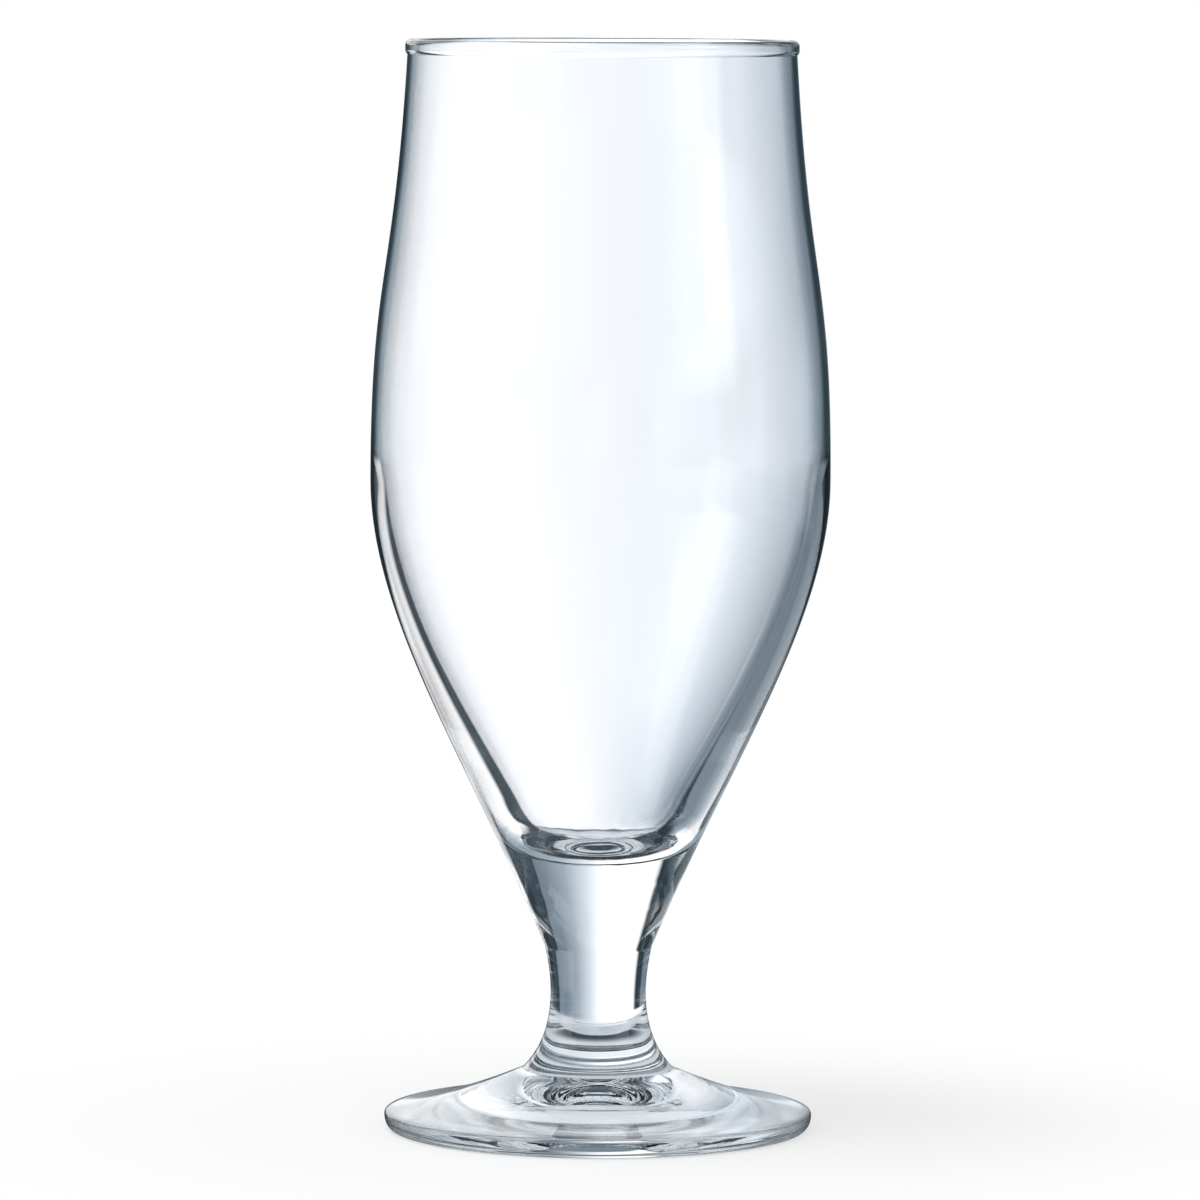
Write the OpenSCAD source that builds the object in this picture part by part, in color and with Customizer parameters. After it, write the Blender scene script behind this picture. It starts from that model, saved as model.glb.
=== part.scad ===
// Stemmed tulip glass for beer: four bodies of revolution about +Z, fused at flat welds.
// Millimetres. The origin is the centre of the ring that stands on the table.

/* [Overall] */
// Height from the table to the top of the lip
glass_height = 178; // [165:1:200]

/* [Rim bead] */
// Thickness of the fire-polished bead across the lip
bead_thick = 2.1; // [1.8:0.1:3]
// Height of the bead's upright flank between its two rounds
bead_flank = 0.6; // [0.2:0.1:2]

/* [Bowl, outside] */
// Diameter of the wall under the bead
mouth_d = 63.3; // [58:0.1:68]
// Angle between the wall and upright at the mouth, in degrees
mouth_lean = 3.3; // [0:0.1:6]
// Height over which the mouth keeps that lean before it swells
mouth_reach = 37.8; // [24:0.2:42]
// Diameter at the widest point
belly_d = 75; // [70:0.5:84]
// Height of the widest point
belly_z = 106.5; // [98:0.5:116]
// Height over which the wall stays upright above the widest point
shoulder_reach = 33.9; // [20:0.1:40]
// Height over which the wall stays upright below the widest point
hip_reach = 22.8; // [14:0.1:30]
// Angle between the wall and upright at the weld to the stem, in degrees
neck_lean = 22.2; // [16:0.2:28]
// Length over which the wall keeps that lean above the weld
neck_reach = 32.2; // [22:0.2:40]

/* [Bowl, inside] */
// Wall thickness under the bead
mouth_wall = 1.4; // [1:0.1:1.7]
// Wall thickness at the widest point inside
belly_wall = 1.5; // [1.2:0.1:2.2]
// Height of the widest point inside above the widest point outside
belly_lift = 6.2; // [2:0.2:10]
// Height over which the mouth keeps its lean inside
inner_mouth_reach = 34.4; // [20:0.2:38]
// Height over which the inside stays upright above its widest point
inner_shoulder_reach = 21.3; // [14:0.1:30]
// Height over which the inside stays upright below its widest point
inner_hip_reach = 21.3; // [14:0.1:30]
// Height of the inside floor above the table
floor_z = 46.2; // [40:0.2:52]
// Diameter of the heel where the cone turns in to the floor
heel_d = 30.7; // [24:0.1:34]
// Height of the heel above the floor
heel_rise = 10.3; // [6:0.1:14]
// Slope of the wall at the heel, in degrees from level
heel_slope = 59; // [50:1:68]
// Length of the straight run above the heel
heel_run_up = 17.1; // [10:0.1:22]
// Length of the straight run below the heel
heel_run_down = 7; // [4:0.1:9]
// Radius over which the floor stays level
floor_reach = 10; // [5:0.1:13]

/* [Stem] */
// Height of the weld between the bowl and the stem
bowl_weld_z = 30; // [27:0.5:36]
// Diameter of the neck, at the weld
neck_d = 17.5; // [15:0.1:20]
// Angle between the stem's side and upright at the weld, in degrees
shank_lean = 13; // [4:0.5:20]
// Length over which the stem keeps that lean below the weld
shank_reach = 3; // [1:0.1:4]
// Diameter of the waist
waist_d = 15.6; // [13:0.1:18]
// Height of the waist
waist_z = 22.5; // [19:0.1:26]
// Height over which the stem stays upright above the waist
throat_reach = 2; // [0.5:0.1:4]
// Height over which the stem stays upright below the waist
ankle_reach = 8.2; // [4:0.1:10]
// Diameter of the flared end of the stem
flare_d = 24.9; // [21:0.1:29]
// Angle between the flare's edge and upright, in degrees
flare_angle = 44.5; // [30:0.5:60]
// Length of the straight run at the flare's edge
flare_reach = 1.3; // [0.5:0.1:4]

/* [Foot] */
// Height of the weld between the stem and the foot
foot_weld_z = 9.8; // [8:0.1:12]
// Diameter of the foot
foot_d = 70; // [62:0.5:80]
// Slope of the foot's top beside the weld, in degrees from level
root_slope = 23.4; // [16:0.2:28]
// Length over which the foot's top keeps that slope
root_reach = 20.8; // [12:0.1:22]
// Height of the foot's widest point
edge_z = 2.3; // [1.6:0.1:3]
// Height of the edge's round above the widest point
edge_crown = 1.95; // [1:0.05:2.6]
// Outer diameter of the flat ring that stands on the table
ring_outer_d = 67; // [58:0.5:69]
// Inner diameter of the flat ring that stands on the table
ring_inner_d = 43.4; // [36:0.2:54]
// Depth of the hollow under the foot at its middle
hollow_depth = 4.6; // [2:0.1:5.5]
// Slope of the hollow beside the ring, in degrees from level
hollow_slope = 18; // [8:0.5:24]
// Length over which the hollow keeps that slope
hollow_run = 12; // [6:0.1:14]
// Radius over which the hollow's middle is level
hollow_reach = 3; // [1:0.1:6]

/* [Hidden] */

$fn = 128;
// Pieces that each smooth span is drawn in
span_steps = 28;
// Share of a quarter round's side that its bending points lie at
quarter_round = 0.5523;
// Colourless soda-lime glass, and the deeper tone that thick glass has
thin_glass = [0.86, 0.91, 0.94, 0.45];
thick_glass = [0.72, 0.79, 0.84, 0.6];

// The bead's lower round is cut where it is as thick as the wall it sits on
bead_r = bead_thick / 2;
bead_drop = sqrt(pow(bead_r, 2) - pow(mouth_wall / 2, 2));
seat_z = glass_height - bead_r - bead_flank - bead_drop;
lip_middle_r = (mouth_d - mouth_wall) / 2;

// Stations of the outside, from the rim down to the table
seat = [mouth_d / 2, seat_z];
belly = [belly_d / 2, belly_z];
neck = [neck_d / 2, bowl_weld_z];
waist = [waist_d / 2, waist_z];
flare = [flare_d / 2, foot_weld_z];
edge = [foot_d / 2, edge_z];
ring_outer = [ring_outer_d / 2, 0];
ring_inner = [ring_inner_d / 2, 0];
hollow_top = [0, hollow_depth];

// Stations of the inside, from the rim down to the floor
inner_seat = seat - [mouth_wall, 0];
inner_belly = belly + [-belly_wall, belly_lift];
heel = [heel_d / 2, floor_z + heel_rise];
floor_middle = [0, floor_z];

up = [0, 1];
out = [1, 0];
mouth_run = [tan(mouth_lean), -1];
neck_run = [sin(neck_lean), cos(neck_lean)];
shank_run = [sin(shank_lean), cos(shank_lean)];
heel_run = [cos(heel_slope), sin(heel_slope)];

// Each smooth span is its start, the two points that it bends towards and its end
outside_spans = [
    [seat, seat + mouth_reach * mouth_run, belly + shoulder_reach * up, belly],
    [belly, belly - hip_reach * up, neck + neck_reach * neck_run, neck],
    [neck, neck - shank_reach * shank_run, waist + throat_reach * up, waist],
    [waist, waist - ankle_reach * up, flare + flare_reach * [-sin(flare_angle), cos(flare_angle)], flare],
    [flare, flare + root_reach * [cos(root_slope), -sin(root_slope)], edge + edge_crown * up, edge],
    [edge, edge - quarter_round * edge_z * up,
        ring_outer + quarter_round * (edge - ring_outer)[0] * out, ring_outer],
];
inside_spans = [
    [inner_seat, inner_seat + inner_mouth_reach * mouth_run,
        inner_belly + inner_shoulder_reach * up, inner_belly],
    [inner_belly, inner_belly - inner_hip_reach * up, heel + heel_run_up * heel_run, heel],
    [heel, heel - heel_run_down * heel_run, floor_middle + floor_reach * out, floor_middle],
];
hollow_span = [ring_inner, ring_inner + hollow_run * [-cos(hollow_slope), sin(hollow_slope)],
    hollow_top + hollow_reach * out, hollow_top];

// Point of a smooth span at t, from 0 at its start to 1 at its end
function on_span(s, t) =
    pow(1 - t, 3) * s[0] + 3 * t * pow(1 - t, 2) * s[1] + 3 * t * t * (1 - t) * s[2] + pow(t, 3) * s[3];

// Points of a row of spans that follow one another
function along(spans) = concat(
    [for (s = spans) for (i = [0 : span_steps - 1]) on_span(s, i / span_steps)],
    [spans[len(spans) - 1][3]]
);

// Half of the glass below the bead, cut through its axis
module half_section() {
    difference() {
        polygon(concat(along(outside_spans), [[0, 0], [0, seat_z]]));
        polygon(concat(along(inside_spans), [[0, glass_height], inner_seat + bead_thick * up]));
        polygon(concat(along([hollow_span]), [[0, -hollow_depth], ring_inner - hollow_depth * up]));
    }
}

// Body of revolution of the half section between two heights
module turned(low, high) {
    rotate_extrude()
        intersection() {
            half_section();
            translate([0, low]) square([max(belly_d, foot_d), high - low]);
        }
}

// Round of the bead's section, at a height above the seat
module bead_round(height) {
    translate([lip_middle_r, seat_z + height]) circle(bead_r);
}

// Rolled bead that stands on the top of the bowl's wall
module rim_bead() {
    color(thin_glass)
        rotate_extrude()
            intersection() {
                union() {
                    bead_round(bead_drop);
                    bead_round(bead_drop + bead_flank);
                    translate([lip_middle_r - bead_r, seat_z + bead_drop]) square([bead_thick, bead_flank]);
                }
                translate([0, seat_z]) square([mouth_d, glass_height]);
            }
}

// Blown bowl, from the bead's seat to the solid glass under its floor
module bowl() {
    color(thin_glass) turned(bowl_weld_z, seat_z);
}

// Drawn stem, from the bowl's weld to its flared end on the foot
module stem() {
    color(thick_glass) turned(foot_weld_z, bowl_weld_z);
}

// Pressed foot with a rounded edge, a flat ring to stand on and a hollow underside
module foot() {
    color(thick_glass) turned(0, foot_weld_z);
}

rim_bead();
bowl();
stem();
foot();
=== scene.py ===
"""Stemmed tulip glass for beer, modelled as four pieces of clear glass and lit in a bright studio."""

import math

import bpy
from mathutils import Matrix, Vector


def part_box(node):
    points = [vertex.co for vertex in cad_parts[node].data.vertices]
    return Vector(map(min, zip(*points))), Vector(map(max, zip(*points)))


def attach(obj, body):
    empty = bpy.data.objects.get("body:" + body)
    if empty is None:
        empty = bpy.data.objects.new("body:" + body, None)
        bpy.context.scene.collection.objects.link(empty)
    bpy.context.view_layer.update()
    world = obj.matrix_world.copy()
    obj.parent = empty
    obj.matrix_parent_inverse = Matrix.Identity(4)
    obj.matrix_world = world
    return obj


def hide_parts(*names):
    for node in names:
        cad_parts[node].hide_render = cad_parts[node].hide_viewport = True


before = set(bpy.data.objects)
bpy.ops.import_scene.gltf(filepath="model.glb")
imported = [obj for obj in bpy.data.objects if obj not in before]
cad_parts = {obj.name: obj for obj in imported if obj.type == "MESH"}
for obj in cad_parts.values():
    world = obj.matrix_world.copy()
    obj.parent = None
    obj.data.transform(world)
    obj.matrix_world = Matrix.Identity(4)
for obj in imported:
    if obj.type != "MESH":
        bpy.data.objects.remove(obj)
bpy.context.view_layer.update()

bl_info = {
    "name": "Tulip Beer Glass",
    "version": (1, 0, 0),
    "blender": (4, 5, 0),
    "location": "View3D > Sidebar > Tulip Glass",
    "description": "Models a clear tulip glass for beer, piece by piece, and its studio",
    "category": "Add Mesh",
}

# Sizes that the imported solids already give, in metres
BEAD_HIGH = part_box("rim_bead")[1]
BOWL_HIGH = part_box("bowl")[1]
STEM_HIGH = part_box("stem")[1]
FOOT_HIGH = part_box("foot")[1]
LIP_Z = BEAD_HIGH.z
SEAT_Z = BOWL_HIGH.z
BOWL_WELD_Z = STEM_HIGH.z
FOOT_WELD_Z = FOOT_HIGH.z

MM = 0.001
# Steps in which every smooth span is drawn, and steps round the axis
SPAN_STEPS = 40
ROUND_STEPS = 256
# Merging distance that joins a turned shape to itself
MERGE = 1e-7
# Share of a quarter round's side that its handles reach
QUARTER_ROUND = 0.5523
# Air left between the foot and the floor, without which the two would look wet and joined
FLOOR_GAP = 0.05 * MM
# Edges sharper than this keep a crease
CREASE_ANGLE = math.radians(40)
# Least upright part of a level face's normal, and the distance within which a face lies at a height
LEVEL_NORMAL = 0.999
TOUCH = 1e-6
# Shares of the heel's radius up to which the inside floor is crinkled and from which it is smooth
CRINKLE_FADE = (0.8, 1.1)
# Sockets of the node that mixes two colours, and those that differ where it mixes two plain values
MIX_SHARE, MIX_FIRST, MIX_SECOND, MIX_RESULT = 0, 6, 7, 2
MIX_FIRST_VALUE, MIX_SECOND_VALUE, MIX_VALUE = 2, 3, 0

# Steps round the floor's edge, and the shares of its radius over which it goes over into white
FLOOR_STEPS = 128
FLOOR_FADE = (0.4, 0.97)
# Distances from the axis over which the mirrored floor goes over from one tone into the next, at the edges of
# the painted shade under the stem and of the painted shadow of the foot's edge
STEM_SHADE = (9 * MM, 20 * MM)
NARROW_STEM_SHADE = (8 * MM, 14 * MM)
EDGE_SHADE = (17 * MM, 24 * MM)
# Shares of the foot's radius over which the floor ends, as the glass lets it through and as it mirrors it
FLOOR_END = (1.0, 1.5)
MIRRORED_FLOOR_END = (1.3, 2.0)

# Bearings of the panels, in degrees to the right of straight ahead
AHEAD, BESIDE, BEHIND = 0, -90, 135
# Widths in a panel, in degrees: its soft left edge, its white, the round before its fade, and its fade
PANEL_EDGE = 5
PANEL_WHITE, WIDE_WHITE, NARROW_WHITE = 36, 80, 26
PANEL_ROUND = 3
BROAD_FADE, SHORT_FADE, LOW_FADE = 45, 25, 40
# Shares of a panel's fade at which it is pale, half faded and dim, and up to which it stays dim
PALE_AT, MID_AT, DIM_AT, DIM_TO = 1 / 6, 0.39, 0.67, 0.97
# Bearing at which the dim side of the panel beside the glass ends
SIDE_END = -56
# Times that the flags repeat round the set
FLAG_COUNT = 4
# Bearings between which the openings are dark, and the width of their soft edges
OPENINGS = ((18, 94), (153, 195), (258, 282))
OPENING_EDGE = 6
# Heights, in degrees above level, over which one layer of the set goes over into the next
GAP_BOTTOM = (-66, -62)
GAP_TOP = (-48, -44)
PANEL_BOTTOM = (-20, -18)
CEILING = (40, 48)
FLAG_BOTTOM = (-12, -9)
FLAG_TOP = (2, 5)
NARROW_TOP = (20, 28)
DIM_CEILING = (33, 39)
GLOW_BOTTOM = (5, 10)
OPENING_BOTTOM = (15, 20)
OPENING_TOP = (38, 46)
LAMP_BOTTOM = (70, 75)
# White that the eye sees behind the glass
PLAIN_WHITE = "#FFFFFF"
# Width of the camera's sensor in millimetres, and how far it sees in metres
SENSOR_WIDTH = 36.0
SIGHT_END = 20.0
# Times that light may pass glass, and be mirrored by it
GLASS_BOUNCES = 32
MIRROR_BOUNCES = 16


class TULIPGLASS_PG_shape(bpy.types.PropertyGroup):
    """Sizes of the glass that its solids don't give by their boxes."""

    mouth_d: bpy.props.FloatProperty(
        name="Mouth", description="Diameter of the wall under the bead",
        default=63.3 * MM, unit="LENGTH",
    )
    mouth_lean: bpy.props.FloatProperty(
        name="Mouth lean", description="Angle between the wall and upright at the mouth",
        default=math.radians(3.3), subtype="ANGLE",
    )
    mouth_reach: bpy.props.FloatProperty(
        name="Mouth reach", description="Height over which the mouth keeps its lean",
        default=37.8 * MM, unit="LENGTH",
    )
    belly_z: bpy.props.FloatProperty(
        name="Belly height", description="Height of the widest point outside",
        default=106.5 * MM, unit="LENGTH",
    )
    shoulder_reach: bpy.props.FloatProperty(
        name="Shoulder reach", description="Upright run above the widest point",
        default=33.9 * MM, unit="LENGTH",
    )
    hip_reach: bpy.props.FloatProperty(
        name="Hip reach", description="Upright run below the widest point",
        default=22.8 * MM, unit="LENGTH",
    )
    neck_d: bpy.props.FloatProperty(
        name="Neck", description="Diameter at the weld between the bowl and the stem",
        default=17.5 * MM, unit="LENGTH",
    )
    neck_lean: bpy.props.FloatProperty(
        name="Neck lean", description="Angle between the bowl's wall and upright at the weld",
        default=math.radians(22.2), subtype="ANGLE",
    )
    neck_reach: bpy.props.FloatProperty(
        name="Neck reach", description="Length over which the bowl keeps its lean above the weld",
        default=32.2 * MM, unit="LENGTH",
    )
    mouth_wall: bpy.props.FloatProperty(
        name="Mouth wall", description="Wall thickness under the bead",
        default=1.4 * MM, unit="LENGTH",
    )
    belly_wall: bpy.props.FloatProperty(
        name="Belly wall", description="Wall thickness at the widest point inside",
        default=1.5 * MM, unit="LENGTH",
    )
    belly_lift: bpy.props.FloatProperty(
        name="Belly lift", description="Height of the widest point inside above the one outside",
        default=6.2 * MM, unit="LENGTH",
    )
    inner_mouth_reach: bpy.props.FloatProperty(
        name="Inner mouth reach", description="Height over which the mouth keeps its lean inside",
        default=34.4 * MM, unit="LENGTH",
    )
    inner_shoulder_reach: bpy.props.FloatProperty(
        name="Inner shoulder reach", description="Upright run above the widest point inside",
        default=21.3 * MM, unit="LENGTH",
    )
    inner_hip_reach: bpy.props.FloatProperty(
        name="Inner hip reach", description="Upright run below the widest point inside",
        default=21.3 * MM, unit="LENGTH",
    )
    floor_z: bpy.props.FloatProperty(
        name="Inside floor", description="Height of the inside floor above the table",
        default=46.2 * MM, unit="LENGTH",
    )
    heel_d: bpy.props.FloatProperty(
        name="Heel", description="Diameter where the cone turns in to the floor",
        default=30.7 * MM, unit="LENGTH",
    )
    heel_rise: bpy.props.FloatProperty(
        name="Heel rise", description="Height of the heel above the floor",
        default=10.3 * MM, unit="LENGTH",
    )
    heel_slope: bpy.props.FloatProperty(
        name="Heel slope", description="Slope of the wall at the heel, from level",
        default=math.radians(59), subtype="ANGLE",
    )
    heel_run_up: bpy.props.FloatProperty(
        name="Run above the heel", description="Straight run above the heel",
        default=17.1 * MM, unit="LENGTH",
    )
    heel_run_down: bpy.props.FloatProperty(
        name="Run below the heel", description="Straight run below the heel",
        default=7 * MM, unit="LENGTH",
    )
    floor_reach: bpy.props.FloatProperty(
        name="Floor reach", description="Radius over which the inside floor stays level",
        default=10 * MM, unit="LENGTH",
    )
    shank_lean: bpy.props.FloatProperty(
        name="Shank lean", description="Angle between the stem's side and upright at the weld",
        default=math.radians(13), subtype="ANGLE",
    )
    shank_reach: bpy.props.FloatProperty(
        name="Shank reach", description="Length over which the stem keeps its lean below the weld",
        default=3 * MM, unit="LENGTH",
    )
    waist_d: bpy.props.FloatProperty(
        name="Waist", description="Diameter of the stem's waist",
        default=15.6 * MM, unit="LENGTH",
    )
    waist_z: bpy.props.FloatProperty(
        name="Waist height", description="Height of the stem's waist",
        default=22.5 * MM, unit="LENGTH",
    )
    throat_reach: bpy.props.FloatProperty(
        name="Throat reach", description="Upright run above the waist",
        default=2 * MM, unit="LENGTH",
    )
    ankle_reach: bpy.props.FloatProperty(
        name="Ankle reach", description="Upright run below the waist",
        default=8.2 * MM, unit="LENGTH",
    )
    flare_angle: bpy.props.FloatProperty(
        name="Flare angle", description="Angle between the flare's edge and upright",
        default=math.radians(44.5), subtype="ANGLE",
    )
    flare_reach: bpy.props.FloatProperty(
        name="Flare reach", description="Straight run at the flare's edge",
        default=1.3 * MM, unit="LENGTH",
    )
    root_slope: bpy.props.FloatProperty(
        name="Root slope", description="Slope of the foot's top beside the weld, from level",
        default=math.radians(23.4), subtype="ANGLE",
    )
    root_reach: bpy.props.FloatProperty(
        name="Root reach", description="Length over which the foot's top keeps that slope",
        default=20.8 * MM, unit="LENGTH",
    )
    edge_z: bpy.props.FloatProperty(
        name="Edge height", description="Height of the foot's widest point",
        default=2.3 * MM, unit="LENGTH",
    )
    edge_crown: bpy.props.FloatProperty(
        name="Edge crown", description="Height of the edge's round above the widest point",
        default=1.95 * MM, unit="LENGTH",
    )
    ring_outer_d: bpy.props.FloatProperty(
        name="Ring outside", description="Outer diameter of the flat ring that stands on the table",
        default=67 * MM, unit="LENGTH",
    )
    ring_inner_d: bpy.props.FloatProperty(
        name="Ring inside", description="Inner diameter of the flat ring that stands on the table",
        default=43.4 * MM, unit="LENGTH",
    )
    hollow_depth: bpy.props.FloatProperty(
        name="Hollow depth", description="Depth of the hollow under the foot at its middle",
        default=4.6 * MM, unit="LENGTH",
    )
    hollow_slope: bpy.props.FloatProperty(
        name="Hollow slope", description="Slope of the hollow beside the ring, from level",
        default=math.radians(18), subtype="ANGLE",
    )
    hollow_run: bpy.props.FloatProperty(
        name="Hollow run", description="Length over which the hollow keeps its slope",
        default=12 * MM, unit="LENGTH",
    )
    hollow_reach: bpy.props.FloatProperty(
        name="Hollow reach", description="Radius over which the hollow's middle is level",
        default=3 * MM, unit="LENGTH",
    )


class TULIPGLASS_PG_finish(bpy.types.PropertyGroup):
    """Finish of the glass."""

    blown_tint: bpy.props.StringProperty(
        name="Blown glass", description="Tint of the thin blown glass, as an sRGB hex value",
        default="#FCFDFF",
    )
    pressed_tint: bpy.props.StringProperty(
        name="Pressed glass", description="Tint of the thick pressed glass, as an sRGB hex value",
        default="#F8FAFD",
    )
    glass_ior: bpy.props.FloatProperty(
        name="Glass IOR", description="Index of refraction of soda-lime glass",
        default=1.52, min=1.0, max=2.5,
    )
    blow_wave: bpy.props.FloatProperty(
        name="Blowing waves", description="Width of the soft waves in the blown wall",
        default=14 * MM, unit="LENGTH",
    )
    blow_depth: bpy.props.FloatProperty(
        name="Blowing wave depth", description="Depth of the soft waves in the blown wall",
        default=0.04 * MM, unit="LENGTH",
    )
    crinkle: bpy.props.FloatProperty(
        name="Crinkles", description="Width of the chill crinkles at the inside floor",
        default=3 * MM, unit="LENGTH",
    )
    crinkle_depth: bpy.props.FloatProperty(
        name="Crinkle depth", description="Depth of the chill crinkles at the inside floor",
        default=0.06 * MM, unit="LENGTH",
    )
    tool_mark: bpy.props.FloatProperty(
        name="Tool marks", description="Distance between the tool's rings round the stem and the foot",
        default=1.1 * MM, unit="LENGTH",
    )
    tool_depth: bpy.props.FloatProperty(
        name="Tool mark depth", description="Depth of the tool's rings",
        default=0.004 * MM, unit="LENGTH",
    )
    worn_roughness: bpy.props.FloatProperty(
        name="Worn roughness", description="Roughness of the table-worn ring under the foot",
        default=0.1, min=0.0, max=1.0,
    )


class TULIPGLASS_PG_studio(bpy.types.PropertyGroup):
    """Floor, light and camera."""

    floor_radius: bpy.props.FloatProperty(
        name="Floor radius", description="Radius of the round floor that the glass stands on",
        default=0.13, unit="LENGTH",
    )
    floor_colour: bpy.props.StringProperty(
        name="Floor colour", description="Colour of the pale floor, as an sRGB hex value",
        default="#F6F7F9",
    )
    floor_white: bpy.props.FloatProperty(
        name="Floor white", description="Share of plain white in the floor under the glass",
        default=0.65, min=0.0, max=1.0,
    )
    panel_white: bpy.props.StringProperty(
        name="Panel white", description="Colour of the white panel behind the glass",
        default="#FFFFFF",
    )
    panel_pale: bpy.props.StringProperty(
        name="Panel pale grey", description="Colour where the panel begins to fade to its right",
        default="#C7CFD5",
    )
    panel_mid: bpy.props.StringProperty(
        name="Panel mid grey", description="Colour where the panel has half faded",
        default="#96A1A9",
    )
    panel_dim: bpy.props.StringProperty(
        name="Panel dim grey", description="Colour of the panel's dim right side",
        default="#717F89",
    )
    # Dark of the room round the panels, also painted on the floor as the shadow of the foot's edge
    dark_room_and_shadow: bpy.props.StringProperty(
        name="Room", description="Colour of the dark room between the panels",
        default="#2A363D",
    )
    panel_strength: bpy.props.FloatProperty(
        name="Panel strength", description="Brightness of the panels as the glass shows them",
        default=1.3, min=0.0, max=2.0,
    )
    under_hollow: bpy.props.StringProperty(
        name="Floor under the hollow", description="Tone of the floor that shows through the foot",
        default="#F4F7F9",
    )
    # Painted shade: the dark tone that the mirrored floor shows under the stem
    mirrored_stem_shade: bpy.props.StringProperty(
        name="Floor's middle mirrored", description="Tone of the mirrored floor under the stem",
        default="#3F4C54",
    )
    mirror_floor: bpy.props.StringProperty(
        name="Floor mirrored", description="Tone of the mirrored floor round the stem",
        default="#DCE2E6",
    )
    mirror_many: bpy.props.StringProperty(
        name="Many mirrors", description="Tone that light has after the foot has mirrored it to and fro",
        default="#E0E6EA",
    )
    mirror_loss: bpy.props.FloatProperty(
        name="Mirror loss", description="Share of dark room in what the glass mirrors twice",
        default=0.8, min=0.0, max=1.0,
    )
    soft_light: bpy.props.FloatProperty(
        name="Soft light", description="Strength of the even light on the floor",
        default=0.6, min=0.0, max=2.0,
    )
    lamp_place: bpy.props.FloatVectorProperty(
        name="Lamp place", description="Place of the soft box above the glass",
        default=(-0.25, -0.15, 0.9), size=3, subtype="TRANSLATION",
    )
    lamp_size: bpy.props.FloatProperty(
        name="Lamp size", description="Diameter of the soft box",
        default=0.6, unit="LENGTH",
    )
    lamp_power: bpy.props.FloatProperty(
        name="Lamp power", description="Power of the soft box in watts",
        default=4.0, unit="POWER",
    )
    camera_distance: bpy.props.FloatProperty(
        name="Camera distance", description="Distance of the camera from the glass's axis",
        default=1.2783, unit="LENGTH",
    )
    camera_height: bpy.props.FloatProperty(
        name="Camera height", description="Height of the camera above the table",
        default=0.19236, unit="LENGTH",
    )
    camera_pitch: bpy.props.FloatProperty(
        name="Camera pitch", description="Angle that the camera looks down",
        default=math.radians(4.721), subtype="ANGLE",
    )
    camera_roll: bpy.props.FloatProperty(
        name="Camera roll", description="Turn of the camera about its line of sight",
        default=math.radians(0.26), subtype="ANGLE",
    )
    camera_lens: bpy.props.FloatProperty(
        name="Lens", description="Focal length on a sensor 36 mm wide, in millimetres",
        default=235.8,
    )


def point(radius, height):
    """A point of a half section, beside the axis."""
    return Vector((radius, 0.0, height))


def straight(start, end):
    """A span that runs straight from start to end."""
    return [start, start.lerp(end, 1 / 3), start.lerp(end, 2 / 3), end]


def arc(centre, radius, start, end):
    """A span that follows a round of up to a quarter turn, between two angles."""
    reach = 4 / 3 * math.tan((end - start) / 4) * radius
    first = centre + radius * point(math.cos(start), math.sin(start))
    last = centre + radius * point(math.cos(end), math.sin(end))
    leaving = reach * point(-math.sin(start), math.cos(start))
    arriving = reach * point(-math.sin(end), math.cos(end))
    return [first, first + leaving, last - arriving, last]


def backwards(spans):
    """The same run of spans from its end to its start."""
    return [span[::-1] for span in reversed(spans)]


def outside_spans():
    """Spans of the outside: shoulder, hip, stem above and below its waist, and the foot's top and edge."""
    shape = bpy.context.scene.tulip_shape
    up = Vector((0, 0, 1))
    seat = point(shape.mouth_d / 2, SEAT_Z)
    belly = point(BOWL_HIGH.x, shape.belly_z)
    neck = point(shape.neck_d / 2, BOWL_WELD_Z)
    waist = point(shape.waist_d / 2, shape.waist_z)
    flare = point(STEM_HIGH.x, FOOT_WELD_Z)
    edge = point(FOOT_HIGH.x, shape.edge_z)
    ring = point(shape.ring_outer_d / 2, 0)
    mouth_run = point(math.tan(shape.mouth_lean), -1)
    neck_run = point(math.sin(shape.neck_lean), math.cos(shape.neck_lean))
    shank_run = point(math.sin(shape.shank_lean), math.cos(shape.shank_lean))
    flare_run = point(-math.sin(shape.flare_angle), math.cos(shape.flare_angle))
    root_run = point(math.cos(shape.root_slope), -math.sin(shape.root_slope))
    return [
        [seat, seat + shape.mouth_reach * mouth_run, belly + shape.shoulder_reach * up, belly],
        [belly, belly - shape.hip_reach * up, neck + shape.neck_reach * neck_run, neck],
        [neck, neck - shape.shank_reach * shank_run, waist + shape.throat_reach * up, waist],
        [waist, waist - shape.ankle_reach * up, flare + shape.flare_reach * flare_run, flare],
        [flare, flare + shape.root_reach * root_run, edge + shape.edge_crown * up, edge],
        [
            edge,
            edge - QUARTER_ROUND * shape.edge_z * up,
            ring + QUARTER_ROUND * point(edge.x - ring.x, 0),
            ring,
        ],
    ]


def inside_spans():
    """Spans of the inside: mouth to belly, belly to heel and heel to the middle of the floor."""
    shape = bpy.context.scene.tulip_shape
    up = Vector((0, 0, 1))
    seat = point(shape.mouth_d / 2 - shape.mouth_wall, SEAT_Z)
    belly = point(BOWL_HIGH.x - shape.belly_wall, shape.belly_z + shape.belly_lift)
    heel = point(shape.heel_d / 2, shape.floor_z + shape.heel_rise)
    floor = point(0, shape.floor_z)
    mouth_run = point(math.tan(shape.mouth_lean), -1)
    heel_run = point(math.cos(shape.heel_slope), math.sin(shape.heel_slope))
    return [
        [seat, seat + shape.inner_mouth_reach * mouth_run, belly + shape.inner_shoulder_reach * up, belly],
        [belly, belly - shape.inner_hip_reach * up, heel + shape.heel_run_up * heel_run, heel],
        [heel, heel - shape.heel_run_down * heel_run, floor + point(shape.floor_reach, 0), floor],
    ]


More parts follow.
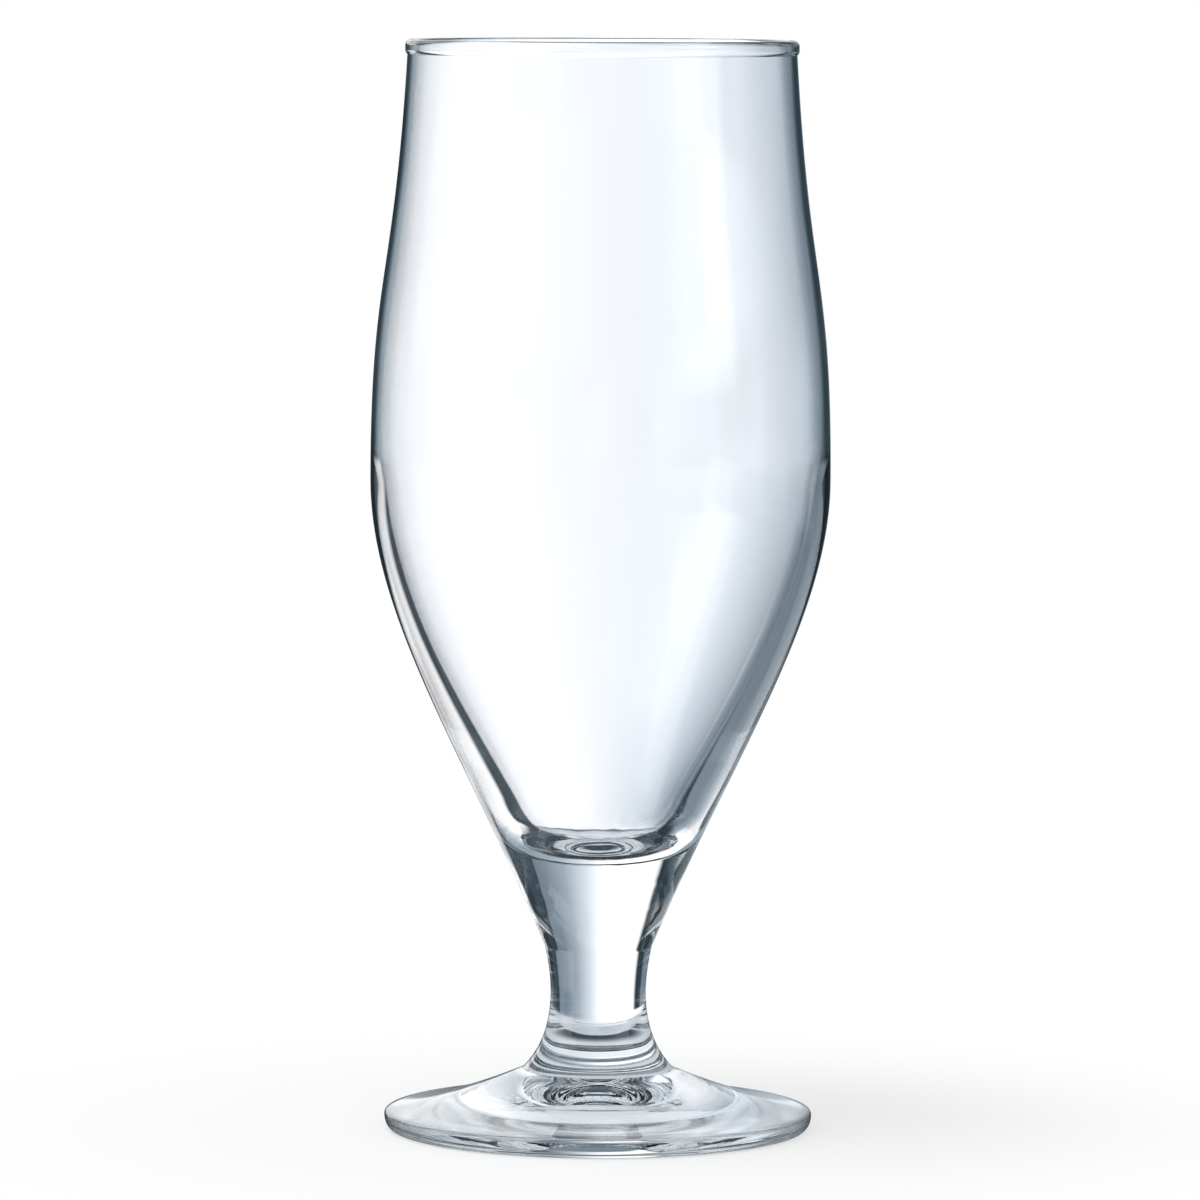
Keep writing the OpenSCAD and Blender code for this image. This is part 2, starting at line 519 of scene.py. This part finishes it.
def turn(name, spans):
    """Draws a half section as a curve, makes it a mesh and turns it round the axis into a closed solid."""
    bpy.ops.object.select_all(action="DESELECT")
    bpy.ops.curve.primitive_bezier_curve_add(location=(0, 0, 0))
    curve = bpy.context.object
    curve.data.resolution_u = SPAN_STEPS
    knots = curve.data.splines[0].bezier_points
    knots.add(len(spans) + 1 - len(knots))
    for knot in knots:
        knot.handle_left_type = knot.handle_right_type = "FREE"
    for span, start, end in zip(spans, knots, knots[1:]):
        start.co = span[0]
        start.handle_right = span[1]
        end.handle_left = span[2]
        end.co = span[3]
    knots[0].handle_left = spans[0][0]
    knots[-1].handle_right = spans[-1][3]
    bpy.ops.object.convert(target="MESH")
    piece = bpy.context.object
    piece.name = piece.data.name = name
    bpy.ops.object.modifier_add(type="SCREW")
    lathe = piece.modifiers[-1]
    lathe.axis = "Z"
    lathe.steps = lathe.render_steps = ROUND_STEPS
    lathe.use_merge_vertices = True
    lathe.merge_threshold = MERGE
    bpy.ops.object.modifier_apply(modifier=lathe.name)
    bpy.ops.object.mode_set(mode="EDIT")
    bpy.ops.mesh.select_all(action="SELECT")
    bpy.ops.mesh.remove_doubles(threshold=MERGE)
    bpy.ops.mesh.normals_make_consistent(inside=False)
    bpy.ops.object.mode_set(mode="OBJECT")
    bpy.ops.object.shade_smooth_by_angle(angle=CREASE_ANGLE)
    return piece


def linear(hex_colour):
    """Linear RGBA of an sRGB hex colour."""
    parts = [int(hex_colour[i : i + 2], 16) / 255 for i in (1, 3, 5)]
    return [p / 12.92 if p <= 0.04045 else ((p + 0.055) / 1.055) ** 2.4 for p in parts] + [1.0]


def add_node(tree, kind, inputs=None, **settings):
    """Adds a node with its settings. Each input is another node's output, a hex colour or a plain value."""
    node = tree.nodes.new(kind)
    for name, value in settings.items():
        setattr(node, name, value)
    for socket, value in (inputs or {}).items():
        if isinstance(value, bpy.types.NodeSocket):
            tree.links.new(value, node.inputs[socket])
        else:
            node.inputs[socket].default_value = linear(value) if isinstance(value, str) else value
    return node


def new_material(name):
    """An empty node material."""
    material = bpy.data.materials.new(name)
    material.use_nodes = True
    material.node_tree.nodes.clear()
    return material


def glass_material(name, tint, relief, roughness=0.0):
    """Clear soda-lime glass: bright where it shows the white ahead, dark where it bends the view aside."""
    finish = bpy.context.scene.tulip_finish
    material = new_material(name)
    tree = material.node_tree
    place = add_node(tree, "ShaderNodeTexCoord").outputs["Object"]
    shader = add_node(
        tree, "ShaderNodeBsdfPrincipled",
        {
            "Base Color": tint,
            "Roughness": roughness,
            "IOR": finish.glass_ior,
            "Transmission Weight": 1.0,
            "Normal": relief(tree, place),
        },
    )
    add_node(tree, "ShaderNodeOutputMaterial", {"Surface": shader.outputs["BSDF"]})
    return material


def blown_relief(tree, place):
    """Soft waves that blowing leaves in a wall, and crinkles where the inside floor chilled first."""
    finish = bpy.context.scene.tulip_finish
    shape = bpy.context.scene.tulip_shape
    swell = add_node(
        tree, "ShaderNodeTexNoise", {"Vector": place, "Scale": 1 / finish.blow_wave, "Detail": 0.0}
    )
    waves = add_node(
        tree, "ShaderNodeBump",
        {"Height": swell.outputs["Fac"], "Strength": 1.0, "Distance": finish.blow_depth},
    )
    from_floor = add_node(
        tree, "ShaderNodeVectorMath", {0: place, 1: point(0, shape.floor_z)}, operation="DISTANCE"
    )
    crinkled_to, smooth_from = (share * shape.heel_d / 2 for share in CRINKLE_FADE)
    near_floor = add_node(
        tree, "ShaderNodeMapRange",
        {"Value": from_floor.outputs["Value"], "From Min": smooth_from, "From Max": crinkled_to},
        interpolation_type="SMOOTHSTEP",
    )
    folds = add_node(
        tree, "ShaderNodeTexNoise", {"Vector": place, "Scale": 1 / finish.crinkle, "Detail": 1.0}
    )
    crinkles = add_node(
        tree, "ShaderNodeMath",
        {0: near_floor.outputs["Result"], 1: folds.outputs["Fac"]},
        operation="MULTIPLY",
    )
    both = add_node(
        tree, "ShaderNodeBump",
        {
            "Height": crinkles.outputs[0],
            "Strength": 1.0,
            "Distance": finish.crinkle_depth,
            "Normal": waves.outputs["Normal"],
        },
    )
    return both.outputs["Normal"]


def tooled_relief(tree, place):
    """Fine uneven rings that a tool leaves on turning glass, drawn along the radius less the height."""
    finish = bpy.context.scene.tulip_finish
    parts = add_node(tree, "ShaderNodeSeparateXYZ", {0: place})
    flat = add_node(tree, "ShaderNodeVectorMath", {0: place, 1: (1, 1, 0)}, operation="MULTIPLY")
    radius = add_node(tree, "ShaderNodeVectorMath", {0: flat.outputs[0]}, operation="LENGTH")
    run = add_node(
        tree, "ShaderNodeMath", {0: radius.outputs["Value"], 1: parts.outputs["Z"]}, operation="SUBTRACT"
    )
    rings = add_node(
        tree, "ShaderNodeTexNoise",
        {"W": run.outputs[0], "Scale": 1 / finish.tool_mark, "Detail": 1.0},
        noise_dimensions="1D",
    )
    marks = add_node(
        tree, "ShaderNodeBump",
        {"Height": rings.outputs["Fac"], "Strength": 1.0, "Distance": finish.tool_depth},
    )
    return marks.outputs["Normal"]


def seam_material():
    """Fused seam: where two pieces melted into one there is no surface, so light goes straight on."""
    name = "Fused seam"
    if name in bpy.data.materials:
        return bpy.data.materials[name]
    material = new_material(name)
    tree = material.node_tree
    clear = add_node(tree, "ShaderNodeBsdfTransparent")
    add_node(tree, "ShaderNodeOutputMaterial", {"Surface": clear.outputs["BSDF"]})
    return material


def paint_faces(piece, material, wanted):
    """Gives a material to the faces that are wanted."""
    piece.data.materials.append(material)
    bpy.ops.object.mode_set(mode="EDIT")
    bpy.ops.mesh.select_mode(type="FACE")
    bpy.ops.mesh.select_all(action="DESELECT")
    bpy.ops.object.mode_set(mode="OBJECT")
    for face in piece.data.polygons:
        face.select = wanted(face)
    bpy.ops.object.mode_set(mode="EDIT")
    piece.active_material_index = len(piece.data.materials) - 1
    bpy.ops.object.material_slot_assign()
    bpy.ops.object.mode_set(mode="OBJECT")


def finish_piece(piece, node, material, weld_heights):
    """Gives a piece its glass and its seams, and lets it stand for its solid."""

    def at_weld(face):
        level = abs(face.normal.z) > LEVEL_NORMAL
        return level and any(abs(face.center.z - height) < TOUCH for height in weld_heights)

    piece.data.materials.append(material)
    paint_faces(piece, seam_material(), at_weld)
    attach(piece, "root")
    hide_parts(node)


class TULIPGLASS_OT_rim_bead(bpy.types.Operator):
    """Model the fire-polished bead that rounds off the lip."""

    bl_idname = "tulipglass.rim_bead"
    bl_label = "Rim bead"

    def execute(self, context):
        shape = context.scene.tulip_shape
        finish = context.scene.tulip_finish
        middle = (shape.mouth_d - shape.mouth_wall) / 2
        radius = BEAD_HIGH.x - middle
        half_wall = shape.mouth_wall / 2
        rise = math.sqrt(radius**2 - half_wall**2)
        low_round = point(middle, SEAT_Z + rise)
        high_round = point(middle, LIP_Z - radius)
        side = point(radius, 0)
        foot_turn = math.acos(half_wall / radius)
        quarter = math.pi / 2
        spans = [
            arc(low_round, radius, -foot_turn, 0),
            straight(low_round + side, high_round + side),
            arc(high_round, radius, 0, quarter),
            arc(high_round, radius, quarter, 2 * quarter),
            straight(high_round - side, low_round - side),
            arc(low_round, radius, 2 * quarter, 2 * quarter + foot_turn),
        ]
        spans.append(straight(spans[-1][3], spans[0][0]))
        piece = turn("lip_bead", spans)
        # Melted round in a flame, so that the lip shows as thin clean lines
        material = glass_material("Fire-polished glass lip", finish.blown_tint, blown_relief)
        finish_piece(piece, "rim_bead", material, [SEAT_Z])
        return {"FINISHED"}


class TULIPGLASS_OT_bowl(bpy.types.Operator):
    """Model the blown bowl, from the bead's seat to the weld under its solid base."""

    bl_idname = "tulipglass.bowl"
    bl_label = "Bowl"

    def execute(self, context):
        finish = context.scene.tulip_finish
        shoulder, hip = outside_spans()[:2]
        inside = inside_spans()
        seat = straight(inside[0][0], shoulder[0])
        weld = straight(hip[3], point(0, BOWL_WELD_Z))
        piece = turn("blown_bowl", [*backwards(inside), seat, shoulder, hip, weld])
        # Blown, so that what shows through it wavers a little and breaks up round the floor
        material = glass_material("Blown soda-lime glass", finish.blown_tint, blown_relief)
        finish_piece(piece, "bowl", material, [SEAT_Z, BOWL_WELD_Z])
        return {"FINISHED"}


class TULIPGLASS_OT_stem(bpy.types.Operator):
    """Model the waisted stem between the bowl's weld and the foot."""

    bl_idname = "tulipglass.stem"
    bl_label = "Stem"

    def execute(self, context):
        finish = context.scene.tulip_finish
        shank, flare = outside_spans()[2:4]
        top = straight(point(0, BOWL_WELD_Z), shank[0])
        weld = straight(flare[3], point(0, FOOT_WELD_Z))
        piece = turn("drawn_stem", [top, shank, flare, weld])
        # Drawn out hot, so that faint rings soften the lines that run down it
        material = glass_material("Drawn soda-lime glass", finish.pressed_tint, tooled_relief)
        finish_piece(piece, "stem", material, [BOWL_WELD_Z, FOOT_WELD_Z])
        return {"FINISHED"}


class TULIPGLASS_OT_foot(bpy.types.Operator):
    """Model the pressed foot with its rounded edge, resting ring and hollow underside."""

    bl_idname = "tulipglass.foot"
    bl_label = "Foot"

    def execute(self, context):
        shape = context.scene.tulip_shape
        finish = context.scene.tulip_finish
        slope, edge = outside_spans()[4:]
        ring_inner = point(shape.ring_inner_d / 2, 0)
        hollow = point(0, shape.hollow_depth)
        hollow_run = shape.hollow_run * point(-math.cos(shape.hollow_slope), math.sin(shape.hollow_slope))
        spans = [
            straight(point(0, FOOT_WELD_Z), slope[0]),
            slope,
            edge,
            straight(edge[3], ring_inner),
            [ring_inner, ring_inner + hollow_run, hollow + point(shape.hollow_reach, 0), hollow],
        ]

        def on_ring(face):
            return face.center.z < TOUCH and face.center.xy.length > ring_inner.x

        piece = turn("pressed_foot", spans)
        # Pressed and smoothed with a tool, so that faint rings run round what it shows
        material = glass_material("Pressed soda-lime glass", finish.pressed_tint, tooled_relief)
        finish_piece(piece, "foot", material, [FOOT_WELD_Z])
        # Worn satin by tables, so that what shows through the ring is a little soft
        worn = glass_material("Table-worn glass", finish.pressed_tint, tooled_relief, finish.worn_roughness)
        paint_faces(piece, worn, on_ring)
        return {"FINISHED"}


def layered_tones(tree, measure, first, layers):
    """Tones in layers: each layer gives the two measures between which it takes over, and its tone."""
    tone = first
    for start, end, layer_tone in layers:
        share = add_node(
            tree, "ShaderNodeMapRange",
            {"Value": measure, "From Min": start, "From Max": end},
            interpolation_type="SMOOTHSTEP",
        )
        mixed = add_node(
            tree, "ShaderNodeMix",
            {MIX_SHARE: share.outputs["Result"], MIX_FIRST: tone, MIX_SECOND: layer_tone},
            data_type="RGBA",
        )
        tone = mixed.outputs[MIX_RESULT]
    return tone


def rays_through_glass(tree, path):
    """1 for rays that glass reflects or lets through, 0 for the others."""
    either = add_node(
        tree, "ShaderNodeMath",
        {0: path.outputs["Is Glossy Ray"], 1: path.outputs["Is Transmission Ray"]},
        operation="MAXIMUM",
    )
    return either.outputs[0]


def lay_floor(studio):
    """A round pale floor with a soft shadow. Through the glass only the part near the foot shows, and where
    the glass mirrors it, it glows with painted shade under the stem and a painted shadow round the foot's
    edge.
    """
    bpy.ops.object.select_all(action="DESELECT")
    bpy.ops.mesh.primitive_circle_add(vertices=FLOOR_STEPS, radius=studio.floor_radius, fill_type="NGON")
    floor = bpy.context.object
    floor.name = "studio_floor"
    floor.location.z = -FLOOR_GAP
    # Matt paint, so that it takes a soft shadow and has no shine
    material = new_material("Matt white sweep")
    tree = material.node_tree
    coords = add_node(tree, "ShaderNodeTexCoord")
    length = add_node(tree, "ShaderNodeVectorMath", {0: coords.outputs["Object"]}, operation="LENGTH")
    reach = length.outputs["Value"]
    path = add_node(tree, "ShaderNodeLightPath")
    mirrored = path.outputs["Glossy Depth"]
    # To the eye, paint that takes the shadow goes over into the plain white round it
    fade_start, fade_end = (share * studio.floor_radius for share in FLOOR_FADE)
    fade = add_node(
        tree, "ShaderNodeMapRange",
        {"Value": reach, "From Min": fade_start, "From Max": fade_end, "To Min": studio.floor_white},
        interpolation_type="SMOOTHSTEP",
    )
    paint = add_node(tree, "ShaderNodeBsdfDiffuse", {"Color": studio.floor_colour})
    white = add_node(tree, "ShaderNodeEmission", {"Strength": 1.0})
    to_the_eye = add_node(
        tree, "ShaderNodeMixShader", {0: fade.outputs["Result"], 1: paint.outputs[0], 2: white.outputs[0]}
    )
    # Mirrored, the floor has painted shade under the stem and is pale round it
    middle, pale = studio.mirrored_stem_shade, studio.mirror_floor
    often = layered_tones(tree, reach, middle, [(*STEM_SHADE, pale)])
    # Mirrored only once, it also has a painted shadow of the foot's edge
    once = layered_tones(tree, reach, middle, [(*NARROW_STEM_SHADE, pale), (*EDGE_SHADE, studio.dark_room_and_shadow)])
    tone = layered_tones(tree, mirrored, studio.under_hollow, [(0, 1, once), (1, 2, often)])
    # The floor glows to the glass in these tones, with painted shade under the stem and a painted shadow of
    # the foot's edge
    glowing = add_node(tree, "ShaderNodeEmission", {"Color": tone})
    gone = add_node(tree, "ShaderNodeBsdfTransparent")
    # Past the foot the glass no longer shows the floor, and where it mirrors it a little further out
    ends = [
        add_node(
            tree, "ShaderNodeMapRange",
            {"Value": reach, "From Min": start * FOOT_HIGH.x, "From Max": end * FOOT_HIGH.x},
            interpolation_type="SMOOTHSTEP",
        ).outputs["Result"]
        for start, end in (FLOOR_END, MIRRORED_FLOOR_END)
    ]
    beyond = add_node(
        tree, "ShaderNodeMix",
        {MIX_SHARE: mirrored, MIX_FIRST_VALUE: ends[0], MIX_SECOND_VALUE: ends[1]},
        data_type="FLOAT",
    )
    to_the_glass = add_node(
        tree, "ShaderNodeMixShader", {0: beyond.outputs[MIX_VALUE], 1: glowing.outputs[0], 2: gone.outputs[0]}
    )
    seen = add_node(
        tree, "ShaderNodeMixShader",
        {0: rays_through_glass(tree, path), 1: to_the_eye.outputs[0], 2: to_the_glass.outputs[0]},
    )
    add_node(tree, "ShaderNodeOutputMaterial", {"Surface": seen.outputs[0]})
    floor.data.materials.append(material)


def ring_of_tones(tree, angle, stops, count=1):
    """Tones that repeat count times round the set, from stops given in degrees."""
    first = stops[0][0]
    period = 360 / count
    share = add_node(
        tree, "ShaderNodeMath",
        {0: angle, 1: count / math.tau, 2: count - first / period},
        operation="MULTIPLY_ADD",
    )
    place = add_node(tree, "ShaderNodeMath", {0: share.outputs[0]}, operation="FRACT")
    ramp = add_node(tree, "ShaderNodeValToRGB", {0: place.outputs[0]})
    elements = ramp.color_ramp.elements
    # New elements may start anywhere, because each is then put in its place
    while len(elements) < len(stops):
        elements.new(0.5)
    for element, (degrees, tone) in zip(elements, stops):
        element.position = (degrees - first) / period
        element.color = linear(tone)
    return ramp.outputs["Color"]


def panel_stops(studio, middle, white, fade):
    """Tones across a panel: white up to its middle, then dimmer over the width of its fade."""
    fading = [
        (PALE_AT, studio.panel_pale),
        (MID_AT, studio.panel_mid),
        (DIM_AT, studio.panel_dim),
        (DIM_TO, studio.panel_dim),
        (1, studio.dark_room_and_shadow),
    ]
    return [
        (middle - white - PANEL_EDGE, studio.dark_room_and_shadow),
        (middle - white, studio.panel_white),
        (middle - PANEL_ROUND, studio.panel_white),
        *((middle + share * fade, tone) for share, tone in fading),
    ]


def build_world(scene, studio):
    """White to the eye; to the glass, white panels that fade to their right, in a dark room."""
    world = bpy.data.worlds.new("Studio")
    scene.world = world
    world.use_nodes = True
    tree = world.node_tree
    tree.nodes.clear()
    coords = add_node(tree, "ShaderNodeTexCoord")
    parts = add_node(tree, "ShaderNodeSeparateXYZ", {0: coords.outputs["Generated"]})
    bearing = add_node(
        tree, "ShaderNodeMath", {0: parts.outputs["X"], 1: parts.outputs["Y"]}, operation="ARCTAN2"
    )
    angle = bearing.outputs[0]

    def by_height(lowest, layers):
        """Tones in layers from the lowest up, between heights in degrees above level."""
        sines = [
            (math.sin(math.radians(start)), math.sin(math.radians(end)), tone) for start, end, tone in layers
        ]
        return layered_tones(tree, parts.outputs["Z"], lowest, sines)

    mid, dim, dark, many = studio.panel_mid, studio.panel_dim, studio.dark_room_and_shadow, studio.mirror_many
    behind = panel_stops(studio, BEHIND, PANEL_WHITE, BROAD_FADE)
    panels = ring_of_tones(
        tree, angle,
        [
            *panel_stops(studio, BESIDE, PANEL_WHITE, SHORT_FADE)[:-1],
            (SIDE_END, dim),
            (SIDE_END + PANEL_EDGE, dark),
            *panel_stops(studio, AHEAD, PANEL_WHITE, BROAD_FADE),
            *behind,
        ],
    )
    # Looking down, the glass shows a wider panel
    wide_panels = ring_of_tones(
        tree, angle, [*panel_stops(studio, AHEAD, WIDE_WHITE, BROAD_FADE), *behind]
    )
    # What the glass mirrors inside shows less of each panel, and more of its fade where it looks down
    narrow_panels, low_panels = [
        ring_of_tones(
            tree, angle,
            [
                stop
                for side in (BESIDE, AHEAD, BEHIND)
                for stop in panel_stops(studio, side, NARROW_WHITE, fade)
            ],
        )
        for fade in (SHORT_FADE, LOW_FADE)
    ]
    # Flags beside the bowl, which only the mirroring edge of its wall shows
    flags = ring_of_tones(
        tree, angle,
        [
            (-45, dim), (-31, mid), (-26, dim), (-21, dark), (-3, dark),
            (1, dim), (7, dim), (12, dark), (26, dark), (31, dim),
        ],
        FLAG_COUNT,
    )
    # Dark openings between the panels, which show in the foot after many mirrorings
    openings = ring_of_tones(
        tree, angle,
        [
            stop
            for start, end in OPENINGS
            for stop in ((start - OPENING_EDGE, many), (start, dark), (end, dark), (end + OPENING_EDGE, many))
        ],
    )
    # Let through: a dark gap below the panels and a dark ceiling, which the bead's top and lower edge show
    let_through = by_height(
        wide_panels,
        [(*GAP_BOTTOM, dark), (*GAP_TOP, wide_panels), (*PANEL_BOTTOM, panels), (*CEILING, dark)],
    )
    # Mirrored once: the flags at the height of the eye, and a dim ceiling
    once = by_height(
        low_panels,
        [(*FLAG_BOTTOM, flags), (*FLAG_TOP, narrow_panels), (*NARROW_TOP, panels), (*DIM_CEILING, dim)],
    )
    # Mirrored twice or three times: the same, and mostly lost in the dark room
    lost = add_node(
        tree, "ShaderNodeMix",
        {MIX_SHARE: studio.mirror_loss, MIX_FIRST: once, MIX_SECOND: dark},
        data_type="RGBA",
    )
    twice = lost.outputs[MIX_RESULT]
    # Mirrored more often: a pale glow with the dark openings in it
    often = by_height(
        twice,
        [(*GLOW_BOTTOM, many), (*OPENING_BOTTOM, openings), (*OPENING_TOP, dark), (*LAMP_BOTTOM, many)],
    )
    # How often the glass has mirrored the view chooses between them
    path = add_node(tree, "ShaderNodeLightPath")
    tone = layered_tones(
        tree, path.outputs["Glossy Depth"], let_through, [(0, 1, once), (1, 2, twice), (3, 4, often)]
    )
    glass_view = add_node(tree, "ShaderNodeBackground", {"Color": tone, "Strength": studio.panel_strength})
    plain_view = add_node(tree, "ShaderNodeBackground", {"Color": PLAIN_WHITE, "Strength": 1.0})
    soft_light = add_node(
        tree, "ShaderNodeBackground", {"Color": PLAIN_WHITE, "Strength": studio.soft_light}
    )
    glowing = add_node(
        tree, "ShaderNodeMixShader",
        {0: rays_through_glass(tree, path), 1: soft_light.outputs[0], 2: glass_view.outputs[0]},
    )
    seen = add_node(
        tree, "ShaderNodeMixShader",
        {0: path.outputs["Is Camera Ray"], 1: glowing.outputs[0], 2: plain_view.outputs[0]},
    )
    add_node(tree, "ShaderNodeOutputWorld", {"Surface": seen.outputs[0]})


def hang_lamp(studio):
    """A broad soft box above the glass, for a soft shadow on the floor."""
    bpy.ops.object.select_all(action="DESELECT")
    bpy.ops.object.light_add(type="AREA", location=studio.lamp_place)
    lamp = bpy.context.object
    lamp.name = "soft_box"
    lamp.data.shape = "DISK"
    lamp.data.size = studio.lamp_size
    lamp.data.energy = studio.lamp_power
    lamp.rotation_euler = (-lamp.location).to_track_quat("-Z", "Y").to_euler()
    lamp.visible_glossy = False
    lamp.visible_transmission = False


def place_camera(scene, studio):
    """The camera stands in front of the glass and looks a little down at it."""
    bpy.ops.object.select_all(action="DESELECT")
    bpy.ops.object.camera_add(
        location=(0, -studio.camera_distance, studio.camera_height),
        rotation=(math.pi / 2 - studio.camera_pitch, 0, 0),
    )
    camera = bpy.context.object
    camera.name = "camera"
    camera.rotation_euler.rotate_axis("Z", studio.camera_roll)
    camera.data.lens = studio.camera_lens
    camera.data.sensor_width = SENSOR_WIDTH
    camera.data.clip_end = SIGHT_END
    scene.camera = camera


class TULIPGLASS_OT_stage(bpy.types.Operator):
    """Set up the pale floor, the white panels, the soft light and the camera."""

    bl_idname = "tulipglass.stage"
    bl_label = "Stage"

    def execute(self, context):
        scene = context.scene
        studio = scene.tulip_studio
        lay_floor(studio)
        build_world(scene, studio)
        hang_lamp(studio)
        place_camera(scene, studio)
        scene.view_settings.view_transform = "Standard"
        scene.cycles.max_bounces = GLASS_BOUNCES
        scene.cycles.transmission_bounces = GLASS_BOUNCES
        scene.cycles.transparent_max_bounces = GLASS_BOUNCES
        scene.cycles.glossy_bounces = MIRROR_BOUNCES
        return {"FINISHED"}


class TULIPGLASS_PT_panel(bpy.types.Panel):
    """Lists the pieces of the glass and its stage."""

    bl_label = "Tulip Glass"
    bl_idname = "TULIPGLASS_PT_panel"
    bl_space_type = "VIEW_3D"
    bl_region_type = "UI"
    bl_category = "Tulip Glass"

    def draw(self, context):
        for operator in OPERATORS:
            self.layout.operator(operator.bl_idname)
        for group in (context.scene.tulip_shape, context.scene.tulip_finish, context.scene.tulip_studio):
            for name in group.__annotations__:
                self.layout.prop(group, name)


GROUPS = {
    "tulip_shape": TULIPGLASS_PG_shape,
    "tulip_finish": TULIPGLASS_PG_finish,
    "tulip_studio": TULIPGLASS_PG_studio,
}
OPERATORS = [
    TULIPGLASS_OT_foot,
    TULIPGLASS_OT_stem,
    TULIPGLASS_OT_bowl,
    TULIPGLASS_OT_rim_bead,
    TULIPGLASS_OT_stage,
]
CLASSES = [*GROUPS.values(), *OPERATORS, TULIPGLASS_PT_panel]


def register():
    """Registers the classes and hangs their values on the scene."""
    for cls in CLASSES:
        bpy.utils.register_class(cls)
    for name, group in GROUPS.items():
        setattr(bpy.types.Scene, name, bpy.props.PointerProperty(type=group))


def unregister():
    """Takes the values off the scene and removes the classes."""
    for name in GROUPS:
        delattr(bpy.types.Scene, name)
    for cls in reversed(CLASSES):
        bpy.utils.unregister_class(cls)


def main():
    """Builds the glass and its stage."""
    register()
    bpy.ops.tulipglass.foot()
    bpy.ops.tulipglass.stem()
    bpy.ops.tulipglass.bowl()
    bpy.ops.tulipglass.rim_bead()
    bpy.ops.tulipglass.stage()


if __name__ == "__main__":
    main()
